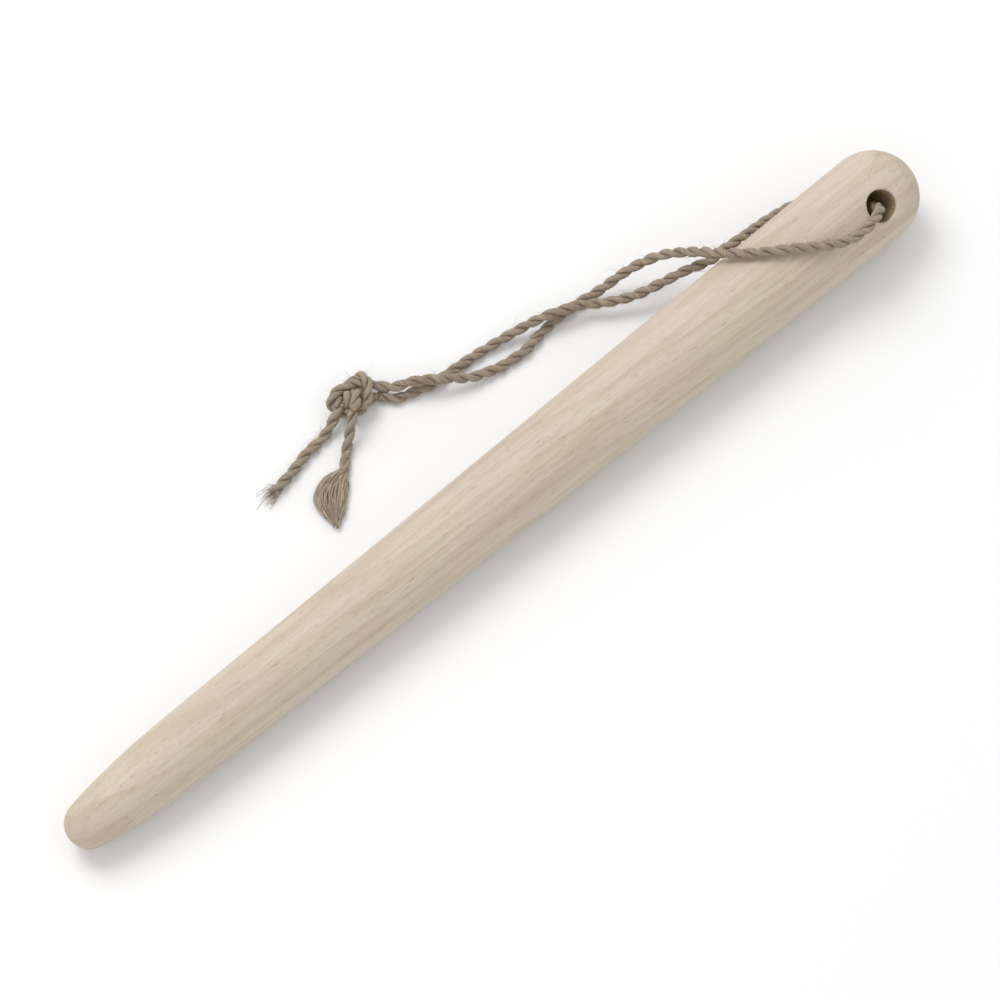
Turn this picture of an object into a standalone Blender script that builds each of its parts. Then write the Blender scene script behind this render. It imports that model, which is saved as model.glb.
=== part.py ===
"""Garden dibber: a turned hardwood peg with a knotted loop of twine through its eye.

The peg lies on its side as it does on a bench. Its point is at -X, its head at +X and +Z is up. The
origin is on the bench, under the middle of the peg. The shank is a straight taper, so the peg leans a
little to bring its lowest flat down on the bench along the whole shank.

The twine is one length, doubled through the eye. Its two halves leave the eye at either mouth, wind
round each other and end in one knot, with two short tails. The twine swings about the bore of the eye.
"""

import math

import bmesh
import bpy
from mathutils import Matrix, Vector

MM = 0.001

# Peg
PEG_LENGTH = 150 * MM
POINT_LENGTH = 20 * MM
SHANK_RADIUS = 4.7 * MM  # where the shank meets the point
HEAD_RADIUS = 6.6 * MM  # where the shank meets the dome
NOSE_RADIUS = 3.3 * MM  # the blunt end of the point
NOSE_ANGLE = math.radians(80)  # where the nose runs into the point
DOME_LENGTH = 6.8 * MM
FACETS = 24
ARC_STEPS = 7

# Eye
EYE_DIAMETER = 4.5 * MM
EYE_FROM_END = 9 * MM
EYE_ANGLE = math.radians(124)  # the upper mouth, round the peg from +Y
EYE_SIDES = 20

# Twine
TWINE_DIAMETER = 1.5 * MM
CLEARANCE = 0.3 * MM  # between the twine and whatever it touches
TWINE_STEP = 2.4 * MM  # between the points along a tube
KNOT_LENGTH = 6.8 * MM
KNOT_WIDTH = 4.4 * MM
KNOT_HEIGHT = 4.2 * MM
KNOT_WRAPS = 3
KNOT_SIDES = 16

TWINE_RADIUS = TWINE_DIAMETER / 2
EYE_PLAY = EYE_DIAMETER / 2 - TWINE_RADIUS - CLEARANCE
ON_BENCH = TWINE_RADIUS + 0.05 * MM  # height of the centre of twine that lies on the bench
PAIR_REACH = TWINE_RADIUS + CLEARANCE  # from the middle of the pair to either strand

# In the bore: (distance from the peg's axis as a share of the head radius, then how far the twine leans
# towards the point and how far it leans round the peg, as shares of the play).
NEAR_BORE = ((0.03, -0.1, 0.0), (0.4, -0.1, 0.0), (0.76, 0.2, 0.0), (1.05, 0.65, 0.0))
FAR_BORE = ((0.03, -0.1, 0.0), (0.38, -0.1, 0.0), (0.72, 0.1, 0.2), (0.99, 0.2, 0.65))

# Round the peg: (distance back from the eye in mm, angle round the peg from +Y in degrees, lift off the
# wood in mm over CLEARANCE).
NEAR_ROUND_PEG = (
    (2.7, 125, 0.85),
    (4.9, 128, 0.95),
    (7.6, 127, 0.4),
    (11.7, 113, 0.15),
    (15.2, 96, 0.15),
    (18.5, 78, 0.1),
    (20.9, 57, 0.25),
    (22.3, 35, 0.9),
)
FAR_ROUND_PEG = (
    (1.3, -36, 0.45),
    (3.4, -29, 0.75),
    (6.2, -24, 0.95),
    (9.4, -19, 0.85),
    (12.6, -12, 0.5),
    (15.4, -5, 0.2),
    (18.4, 0, 0.2),
    (21.2, 3, 0.1),
)

# Down to the bench: (distance back from the eye, distance out from the peg's flank, height of the
# centre over where it lies on the bench), all in mm.
NEAR_DOWN = ((23.6, 3.2, 8.0), (25.6, 5.9, 6.0), (28.0, 7.6, 4.3), (30.8, 8.7, 2.8), (33.8, 9.4, 1.3))
FAR_DOWN = ((24.8, 2.6, 4.9), (28.2, 4.0, 3.3), (31.6, 5.4, 2.1), (34.7, 7.1, 1.8))

# The twisted pair: (distance back from the eye, distance out from the peg's flank in mm, turns, spread
# of the strands as a multiple of the tightest they can lie). At no turns the near strand is underneath.
PAIR_ROUTE = (
    (37.6, 9.8, -0.1, 1.0),
    (41.4, 10.6, 0.0, 1.0),
    (44.4, 11.0, 0.1, 1.1),
    (48.0, 11.3, 0.2, 1.5),
    (52.0, 11.9, 0.25, 1.6),
    (56.4, 12.8, 0.32, 1.4),
    (60.4, 14.1, 0.45, 1.0),
    (63.8, 15.7, 0.58, 1.0),
    (67.9, 17.6, 0.72, 1.0),
)
PAIR_STEPS = 2  # points of each strand between two points of the pair

# The knot and the tails: (distance back from the eye, distance out from the peg's flank) in mm.
KNOT_PLACE = (70.7, 19.1)
KNOT_HEADING = math.radians(212)  # the way the knot's long axis points, towards the tails
STRAIGHT_TAIL = ((74.2, 18.5), (77.2, 18.3), (80.4, 18.0), (84.2, 17.1), (88.0, 16.5))
FRAYED_TAIL = ((73.6, 16.4), (76.3, 14.7), (79.0, 12.3), (81.8, 10.0), (84.6, 7.4))
TAIL_START_HEIGHT = 0.5 * MM  # of a tail's centre over where it lies, as it leaves the knot

WOOD_COLOUR = (0.70, 0.56, 0.42, 1)
TWINE_COLOUR = (0.31, 0.25, 0.18, 1)

EYE_X = PEG_LENGTH / 2 - EYE_FROM_END
SHANK_START = POINT_LENGTH - PEG_LENGTH / 2
SHANK_END = PEG_LENGTH / 2 - DOME_LENGTH
TAPER = (HEAD_RADIUS - SHANK_RADIUS) / (SHANK_END - SHANK_START)
FLAT = math.cos(math.pi / FACETS)  # a facet's distance from the axis as a share of the radius
LEAN = math.atan(TAPER * FLAT)
AXIS_HEIGHT = (SHANK_RADIUS - TAPER * SHANK_START) * FLAT * math.cos(LEAN)
PEG_PLACE = Matrix.Translation((0, 0, AXIS_HEIGHT)) @ Matrix.Rotation(-LEAN, 4, "Y")


def shank_radius(x):
    """Radius of the straight taper at x along the peg's axis."""
    return SHANK_RADIUS + TAPER * (x - SHANK_START)


def round_peg(x, angle, reach):
    """A point at this reach from the peg's axis, angle measured from +Y up over the peg."""
    return PEG_PLACE @ Vector((x, reach * math.cos(angle), reach * math.sin(angle)))


def beside_peg(back, out, height):
    """A point this far back from the eye and out from the peg's flank, in mm, at a height in metres."""
    x = EYE_X - back * MM
    return Vector((x, shank_radius(x) + out * MM, height))


def peg_profile():
    """(x, radius) from the nose to the top of the dome."""
    nose_centre = NOSE_RADIUS - PEG_LENGTH / 2
    points = []
    for i in range(ARC_STEPS + 1):
        angle = NOSE_ANGLE * i / ARC_STEPS
        points.append((nose_centre - NOSE_RADIUS * math.cos(angle), NOSE_RADIUS * math.sin(angle)))
    x0, r0 = points[-1]
    slope = 1 / math.tan(NOSE_ANGLE)
    span = SHANK_START - x0
    for i in range(1, ARC_STEPS + 1):
        t = i / ARC_STEPS
        start = (1 + 2 * t) * (1 - t) ** 2 * r0 + t * (1 - t) ** 2 * span * slope
        end = t * t * (3 - 2 * t) * SHANK_RADIUS - t * t * (1 - t) * span * TAPER
        points.append((x0 + span * t, start + end))
    for i in range(ARC_STEPS + 1):
        angle = math.pi / 2 * i / ARC_STEPS
        points.append((SHANK_END + DOME_LENGTH * math.sin(angle), HEAD_RADIUS * math.cos(angle)))
    return points


def knot_profile():
    """(x, radius as a share of the widest) along the knot, a bead with one swelling for each wrap."""
    steps = 6 * KNOT_WRAPS
    points = []
    for i in range(steps + 1):
        angle = math.pi * i / steps
        wrap = 0.94 + 0.06 * math.cos(2 * KNOT_WRAPS * angle)
        points.append((-KNOT_LENGTH / 2 * math.cos(angle), math.sin(angle) * wrap))
    return points


def turned(name, profile, sides):
    """An object turned about X from a profile that starts and ends on the axis, with a flat downwards."""
    mesh = bmesh.new()
    tilt = Matrix.Rotation(math.pi / sides, 3, "X")
    rim = [mesh.verts.new(tilt @ Vector((x, 0, radius))) for x, radius in profile]
    edges = [mesh.edges.new(pair) for pair in zip(rim, rim[1:])]
    bmesh.ops.spin(
        mesh, geom=rim + edges, axis=(1, 0, 0), cent=(0, 0, 0), angle=2 * math.pi, steps=sides, use_merge=True
    )
    bmesh.ops.remove_doubles(mesh, verts=mesh.verts, dist=1e-6)
    bmesh.ops.recalc_face_normals(mesh, faces=mesh.faces)
    return finished(name, mesh)


def finished(name, mesh):
    data = bpy.data.meshes.new(name)
    mesh.to_mesh(data)
    mesh.free()
    data.shade_smooth()
    data.set_sharp_from_angle(angle=math.radians(40))
    made = bpy.data.objects.new(name, data)
    bpy.context.scene.collection.objects.link(made)
    return made


def material(name, colour, roughness):
    made = bpy.data.materials.new(name)
    made.use_nodes = True
    shader = made.node_tree.nodes["Principled BSDF"]
    shader.inputs["Base Color"].default_value = colour
    shader.inputs["Roughness"].default_value = roughness
    shader.inputs["Metallic"].default_value = 0
    return made


def make_peg():
    peg = turned("peg", peg_profile(), FACETS)
    peg.matrix_world = PEG_PLACE
    peg.data.materials.append(material("peg_wood", WOOD_COLOUR, 0.6))
    drill = make_eye_cutter()
    eye = peg.modifiers.new("eye", "BOOLEAN")
    eye.operation = "DIFFERENCE"
    eye.solver = "EXACT"
    eye.object = drill
    return peg


def make_eye_cutter():
    """A rod along the bore, longer than the head is thick."""
    mesh = bmesh.new()
    bmesh.ops.create_cone(
        mesh,
        cap_ends=True,
        segments=EYE_SIDES,
        radius1=EYE_DIAMETER / 2,
        radius2=EYE_DIAMETER / 2,
        depth=3 * HEAD_RADIUS,
    )
    cutter = finished("eye_cutter", mesh)
    cutter.matrix_world = eye_frame()
    cutter.hide_render = True
    cutter.display_type = "WIRE"
    return cutter


def eye_frame():
    """The middle of the bore, with local Z along it towards the upper mouth."""
    return PEG_PLACE @ Matrix.Translation((EYE_X, 0, 0)) @ Matrix.Rotation(EYE_ANGLE - math.pi / 2, 4, "X")


def bore_route(places, side):
    """From the middle of the bore to a mouth: side is 1 for the upper mouth and -1 for the lower one."""
    frame = eye_frame()
    route = []
    for share, back, around in places:
        route.append(frame @ Vector((-back * EYE_PLAY, around * EYE_PLAY, side * share * HEAD_RADIUS)))
    return route


def peg_route(places):
    route = []
    for back, degrees, lift in places:
        x = EYE_X - back * MM
        reach = shank_radius(x) + TWINE_RADIUS + CLEARANCE + lift * MM
        route.append(round_peg(x, math.radians(degrees), reach))
    return route


def twisted_pair():
    """The near and the far strand, wound round each other with the lower one on the bench."""
    near, far = [], []
    for i in range((len(PAIR_ROUTE) - 1) * PAIR_STEPS + 1):
        back, out, turns, spread = between(PAIR_ROUTE, i / PAIR_STEPS)
        slope = heading(i / PAIR_STEPS)
        across = Vector((-slope.y, slope.x, 0))
        angle = 2 * math.pi * turns
        middle = beside_peg(back, out, ON_BENCH + PAIR_REACH * abs(math.cos(angle)))
        arm = across * math.sin(angle) * spread - Vector((0, 0, 1)) * math.cos(angle)
        near.append(middle + PAIR_REACH * arm)
        far.append(middle - PAIR_REACH * arm)
    return near, far


def heading(position):
    """The way the pair runs at this position, level, towards the knot."""
    last = len(PAIR_ROUTE) - 1
    a = between(PAIR_ROUTE, max(position - 0.1, 0))
    b = between(PAIR_ROUTE, min(position + 0.1, last))
    return (beside_peg(b[0], b[1], 0) - beside_peg(a[0], a[1], 0)).normalized()


def between(rows, position):
    """The rows' values at a position among them, on straight lines between the rows."""
    i = min(int(position), len(rows) - 2)
    t = position - i
    return [a + (b - a) * t for a, b in zip(rows[i], rows[i + 1])]


def smooth(route, step):
    """Points a step apart on a smooth curve through the route (centripetal Catmull-Rom)."""
    ends = [2 * route[0] - route[1], *route, 2 * route[-1] - route[-2]]
    fine = []
    for p0, p1, p2, p3 in zip(ends, ends[1:], ends[2:], ends[3:]):
        t1 = math.sqrt((p1 - p0).length)
        t2 = t1 + math.sqrt((p2 - p1).length)
        t3 = t2 + math.sqrt((p3 - p2).length)
        for k in range(12):
            t = t1 + (t2 - t1) * k / 12
            a1 = p0.lerp(p1, t / t1)
            a2 = p1.lerp(p2, (t - t1) / (t2 - t1))
            a3 = p2.lerp(p3, (t - t2) / (t3 - t2))
            b1 = a1.lerp(a2, t / t2)
            b2 = a2.lerp(a3, (t - t1) / (t3 - t1))
            fine.append(b1.lerp(b2, (t - t1) / (t2 - t1)))
    fine.append(route[-1])
    return evenly(fine, step)


def evenly(line, step):
    lengths = [(b - a).length for a, b in zip(line, line[1:])]
    count = max(2, round(sum(lengths) / step))
    spacing = sum(lengths) / count
    points, walked, i = [line[0]], 0, 0
    for k in range(1, count):
        while walked + lengths[i] < k * spacing:
            walked += lengths[i]
            i += 1
        points.append(line[i].lerp(line[i + 1], (k * spacing - walked) / lengths[i]))
    return points + [line[-1]]


def tube(name, route, pivot, finish):
    """A round tube of twine along a smooth curve through the route."""
    curve = bpy.data.curves.new(name, "CURVE")
    curve.dimensions = "3D"
    curve.bevel_depth = TWINE_RADIUS
    curve.bevel_resolution = 2
    curve.use_fill_caps = True
    points = smooth(route, TWINE_STEP)
    spline = curve.splines.new("POLY")
    spline.points.add(len(points) - 1)
    for point, place in zip(spline.points, points):
        point.co = (*place, 1)
    curve.materials.append(finish)
    made = bpy.data.objects.new(name, curve)
    bpy.context.scene.collection.objects.link(made)
    hang(made, pivot)
    return made


def hang(piece, pivot):
    """Parents a piece to the lanyard's pivot and leaves it where it is."""
    piece.parent = pivot
    piece.matrix_parent_inverse = pivot.matrix_world.inverted()


def make_pivot():
    """The lanyard's swing axis: local Z runs along the bore."""
    pivot = bpy.data.objects.new("lanyard_pivot", None)
    pivot.empty_display_size = HEAD_RADIUS
    bpy.context.scene.collection.objects.link(pivot)
    pivot.matrix_world = eye_frame()
    return pivot


def make_halves(pivot, finish):
    near_pair, far_pair = twisted_pair()
    near_down = [beside_peg(back, out, ON_BENCH + rise * MM) for back, out, rise in NEAR_DOWN]
    far_down = [beside_peg(back, out, ON_BENCH + rise * MM) for back, out, rise in FAR_DOWN]
    near = bore_route(NEAR_BORE, 1) + peg_route(NEAR_ROUND_PEG) + near_down + near_pair
    far = bore_route(FAR_BORE, -1) + peg_route(FAR_ROUND_PEG) + far_down + far_pair
    tube("twine_near_half", near, pivot, finish)
    tube("twine_far_half", far, pivot, finish)


def make_knot(pivot, finish):
    knot = turned("twine_knot", knot_profile(), KNOT_SIDES)
    size = Matrix.Diagonal((1, KNOT_WIDTH / 2, KNOT_HEIGHT / 2))
    for vertex in knot.data.vertices:
        vertex.co = size @ vertex.co
    height = KNOT_HEIGHT / 2 + 0.1 * MM
    place = beside_peg(*KNOT_PLACE, height)
    knot.matrix_world = Matrix.Translation(place) @ Matrix.Rotation(KNOT_HEADING, 4, "Z")
    knot.data.materials.append(finish)
    hang(knot, pivot)


def make_tail(name, places, pivot, finish):
    route = [beside_peg(back, out, ON_BENCH) for back, out in places]
    route[0].z += TAIL_START_HEIGHT
    tube(name, route, pivot, finish)


def main():
    for old in list(bpy.data.objects):
        bpy.data.objects.remove(old, do_unlink=True)
    make_peg()
    pivot = make_pivot()
    bpy.context.view_layer.update()
    twine = material("twine_fibre", TWINE_COLOUR, 0.9)
    make_halves(pivot, twine)
    make_knot(pivot, twine)
    make_tail("twine_straight_tail", STRAIGHT_TAIL, pivot, twine)
    make_tail("twine_frayed_tail", FRAYED_TAIL, pivot, twine)


main()
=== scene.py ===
"""The looks of a garden dibber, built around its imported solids.

The peg is pale turned hardwood with an eye drilled through its head. The twine is one length of two-ply
jute, doubled through the eye: its two halves wind round each other and end in one overhand knot. One
tail is cut clean and the other has come unlaid. All sizes are in metres unless a name says otherwise.
"""

import math

import bmesh
import bpy
import numpy as np
from bpy.props import FloatProperty, FloatVectorProperty, IntProperty, PointerProperty
from mathutils import Matrix, Quaternion, Vector


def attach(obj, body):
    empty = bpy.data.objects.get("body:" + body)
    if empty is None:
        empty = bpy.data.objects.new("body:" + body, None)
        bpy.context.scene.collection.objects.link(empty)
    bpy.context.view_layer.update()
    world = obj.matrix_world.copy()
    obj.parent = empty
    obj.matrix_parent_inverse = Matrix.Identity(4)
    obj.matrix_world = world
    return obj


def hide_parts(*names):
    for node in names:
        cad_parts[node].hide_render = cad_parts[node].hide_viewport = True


bl_info = {
    "name": "Garden dibber",
    "version": (1, 0, 0),
    "blender": (4, 5, 0),
    "location": "View3D > Sidebar > Dibber",
    "description": "Builds a turned wooden dibber with a knotted loop of twine",
    "category": "Add Mesh",
}

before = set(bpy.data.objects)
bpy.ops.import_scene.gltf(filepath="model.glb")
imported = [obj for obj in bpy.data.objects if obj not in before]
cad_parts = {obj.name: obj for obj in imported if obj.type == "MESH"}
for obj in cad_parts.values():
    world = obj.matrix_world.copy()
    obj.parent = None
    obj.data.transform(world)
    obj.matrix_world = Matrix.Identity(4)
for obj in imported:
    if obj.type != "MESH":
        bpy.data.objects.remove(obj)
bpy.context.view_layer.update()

MM = 0.001
FULL_TURN = 2 * math.pi

# ---- the peg

PEG_LENGTH = 150 * MM
POINT_LENGTH = 20 * MM
SHANK_RADIUS = 4.7 * MM
HEAD_RADIUS = 6.6 * MM
NOSE_RADIUS = 3.3 * MM
NOSE_ANGLE = math.radians(80)
DOME_LENGTH = 6.8 * MM
FACETS = 24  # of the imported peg
EYE_DIAMETER = 4.5 * MM
EYE_FROM_END = 9 * MM
EYE_ANGLE = math.radians(124)

PEG_SIDES = 96
NOSE_RINGS = 14
POINT_RINGS = 36
SHANK_RINGS = 150
DOME_RINGS = 22
PATCH_REACH = 10  # sides of the peg from the middle of the eye to the edge of the net round it
NET_RINGS = 9
NET_CROWDING = 1.5  # over 1, the net's rings stand closer together near the eye
WALL_RINGS = 8  # down the bore

SHANK_START = POINT_LENGTH - PEG_LENGTH / 2
SHANK_END = PEG_LENGTH / 2 - DOME_LENGTH
TAPER = (HEAD_RADIUS - SHANK_RADIUS) / (SHANK_END - SHANK_START)
EYE_X = PEG_LENGTH / 2 - EYE_FROM_END

# ---- the twine

TWINE_DIAMETER = 1.5 * MM
CLEARANCE = 0.3 * MM
TWINE_RADIUS = TWINE_DIAMETER / 2
EYE_PLAY = EYE_DIAMETER / 2 - TWINE_RADIUS - CLEARANCE
ON_BENCH = TWINE_RADIUS + 0.05 * MM
PAIR_REACH = TWINE_RADIUS + CLEARANCE

# In the bore: (distance from the peg's axis as a share of the head radius, then how far the twine leans
# towards the point and how far it leans round the peg, as shares of the play).
NEAR_BORE = ((0.03, -0.1, 0.0), (0.4, -0.1, 0.0), (0.76, 0.2, 0.0), (1.05, 0.65, 0.0))
FAR_BORE = ((0.03, -0.1, 0.0), (0.38, -0.1, 0.0), (0.72, 0.1, 0.2), (0.99, 0.2, 0.65))

# Round the peg: (distance back from the eye in mm, angle round the peg from +Y in degrees, lift off the
# wood in mm over CLEARANCE).
NEAR_ROUND_PEG = (
    (2.7, 125, 0.85),
    (4.9, 128, 0.95),
    (7.6, 127, 0.4),
    (11.7, 113, 0.15),
    (15.2, 96, 0.15),
    (18.5, 78, 0.1),
    (20.9, 57, 0.25),
    (22.3, 35, 0.9),
)
FAR_ROUND_PEG = (
    (1.3, -36, 0.45),
    (3.4, -29, 0.75),
    (6.2, -24, 0.95),
    (9.4, -19, 0.85),
    (12.6, -12, 0.5),
    (15.4, -5, 0.2),
    (18.4, 0, 0.2),
    (21.2, 3, 0.1),
)

# Down to the bench: (distance back from the eye, distance out from the peg's flank, height of the
# centre over where it lies on the bench), all in mm.
NEAR_DOWN = ((23.6, 3.2, 8.0), (25.6, 5.9, 6.0), (28.0, 7.6, 4.3), (30.8, 8.7, 2.8), (33.8, 9.4, 1.3))
FAR_DOWN = ((24.8, 2.6, 4.9), (28.2, 4.0, 3.3), (31.6, 5.4, 2.1), (34.7, 7.1, 1.8))

# The twisted pair: (distance back from the eye, distance out from the peg's flank in mm, turns, spread
# of the strands as a multiple of the tightest they can lie). At no turns the near strand is underneath.
PAIR_ROUTE = (
    (37.6, 9.8, -0.1, 1.0),
    (41.4, 10.6, 0.0, 1.0),
    (44.4, 11.0, 0.1, 1.1),
    (48.0, 11.3, 0.2, 1.5),
    (52.0, 11.9, 0.25, 1.6),
    (56.4, 12.8, 0.32, 1.4),
    (60.4, 14.1, 0.45, 1.0),
    (63.8, 15.7, 0.58, 0.8),
    (67.9, 17.6, 0.72, 0.6),
)
PAIR_STEPS = 2  # points of each strand between two rows

# The knot and the tails: (distance back from the eye, distance out from the peg's flank) in mm.
KNOT_PLACE = (70.7, 19.1)
KNOT_ENTRY = math.radians(176)  # the way the pair runs into the knot
KNOT_TURN = math.radians(44)  # how far the tails turn from that
KNOT_REACH = 3.2 * MM  # from the middle of the knot to where its strands are joined on
KNOT_CLEAR = 4.6 * MM  # from the middle of the knot to where the pair's own points stop
STRAIGHT_TAIL = ((74.2, 18.5), (77.2, 18.3), (80.4, 18.0), (84.2, 17.1), (88.0, 16.5))
FRAYED_TAIL = ((73.6, 16.4), (76.3, 14.7), (79.0, 12.3), (81.8, 10.0), (84.6, 7.4))

STEP = 0.22 * MM  # between the rings of the yarn
CURVE_STEPS = 14  # points on the smooth curve for each point of the route
PLY_SIDES = 14
PLY_REACH = 0.49 * TWINE_RADIUS  # from the middle of the twine to the middle of a ply
PLY_HIGH = 0.51  # half a ply's size away from the middle of the twine, as a share of the twine's radius
PLY_WIDE = 0.60  # half its size across that
THINNED = 0.6  # share of a ply's radius that is lost where it comes unlaid

TIE_STEP = 0.5 * MM  # between the beads that the knot is tightened with
LOOSE_SIZE = 2.1 * MM  # of the loose knot's shape
LOOSE_END = 2.05  # how far the shape is followed either way from its middle
LOOSE_FLATTER = 0.2  # share of their height that the knot's leads keep
LOOSE_LEAD = 3 * MM
LEAD_BEADS = 8  # at each end of a strand, whose stretch says how hard it is pulled
PULL = 0.05 * MM
PULLED_TIGHT = 1.02  # stretch at which an end is let back instead
STIFFNESS = 0.2
HOLDS = 3  # times in a round that the beads are set apart
BEAD_REACH = 1.4  # beads of one strand nearer than this along it, in thicknesses, may touch
CROWD_REACH = 2.2  # how far round a bead its neighbours are counted, in thicknesses
CROWD = 30  # neighbours of a bead in the body of the knot
KNOT_THINNING = 3  # one bead in this many is a point of the twine's line

CUT_FIBRES = 60  # at the end of the clean tail
TUFT_LENGTH = 8.2 * MM
TUFT_FIBRES = 150
TUFT_STRAY = 12  # one fibre in this many may lie further out
TUFT_UNLAID = 2.4 * MM  # where the plies thin out as the tuft opens
TUFT_OFFSET = -1.5  # of the middle of the tuft to one side, in mm
TUFT_SPREAD = 1.9  # of its outermost fibres from its middle, in mm
HAIRLESS = 7.5 * MM  # of twine either way from the middle of the eye


def peg_place(flat=1.0):
    """Where the peg's axis lies. flat is the share of the radius at which the peg touches the bench."""
    lean = math.atan(TAPER * flat)
    height = (SHANK_RADIUS - TAPER * SHANK_START) * flat * math.cos(lean)
    return Matrix.Translation((0, 0, height)) @ Matrix.Rotation(-lean, 4, "Y")


CAD_PEG_PLACE = peg_place(math.cos(math.pi / FACETS))


def shank_radius(x):
    """The radius of the straight taper at x along the peg's axis."""
    return SHANK_RADIUS + TAPER * (x - SHANK_START)


def peg_radius(x):
    """The peg's radius at x along its axis: round nose, swelling point, straight shank, dome."""
    nose_centre = NOSE_RADIUS - PEG_LENGTH / 2
    nose_end = nose_centre - NOSE_RADIUS * math.cos(NOSE_ANGLE)
    if x <= nose_end:
        return math.sqrt(max(0, NOSE_RADIUS**2 - (x - nose_centre) ** 2))
    if x < SHANK_START:
        span = SHANK_START - nose_end
        t = (x - nose_end) / span
        start = (1 + 2 * t) * (1 - t) ** 2 * NOSE_RADIUS * math.sin(NOSE_ANGLE)
        start += t * (1 - t) ** 2 * span / math.tan(NOSE_ANGLE)
        return start + t * t * (3 - 2 * t) * SHANK_RADIUS - t * t * (1 - t) * span * TAPER
    if x <= SHANK_END:
        return shank_radius(x)
    return HEAD_RADIUS * math.sqrt(max(0, 1 - ((x - SHANK_END) / DOME_LENGTH) ** 2))


def peg_stations():
    """Where the peg's rings stand along its axis, and which of them begin and end the eye's net."""
    nose_centre = NOSE_RADIUS - PEG_LENGTH / 2
    nose = []
    for i in range(1, NOSE_RINGS + 1):
        nose.append(nose_centre - NOSE_RADIUS * math.cos(NOSE_ANGLE * i / NOSE_RINGS))
    reach = HEAD_RADIUS * math.sin(FULL_TURN * PATCH_REACH / PEG_SIDES)
    net = list(np.linspace(EYE_X - reach, EYE_X + reach, 2 * PATCH_REACH + 1))
    point = list(np.linspace(nose[-1], SHANK_START, POINT_RINGS))[1:]
    shank = list(np.linspace(SHANK_START, net[0], SHANK_RINGS))[1:-1]
    first_turn = math.asin((net[-1] - SHANK_END) / DOME_LENGTH)
    turns = np.linspace(first_turn, math.pi / 2, DOME_RINGS)[1:-1]
    dome = [SHANK_END + DOME_LENGTH * math.sin(turn) for turn in turns]
    first = len(nose) + len(point) + len(shank)
    return nose + point + shank + net + dome, first, first + 2 * PATCH_REACH


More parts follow.
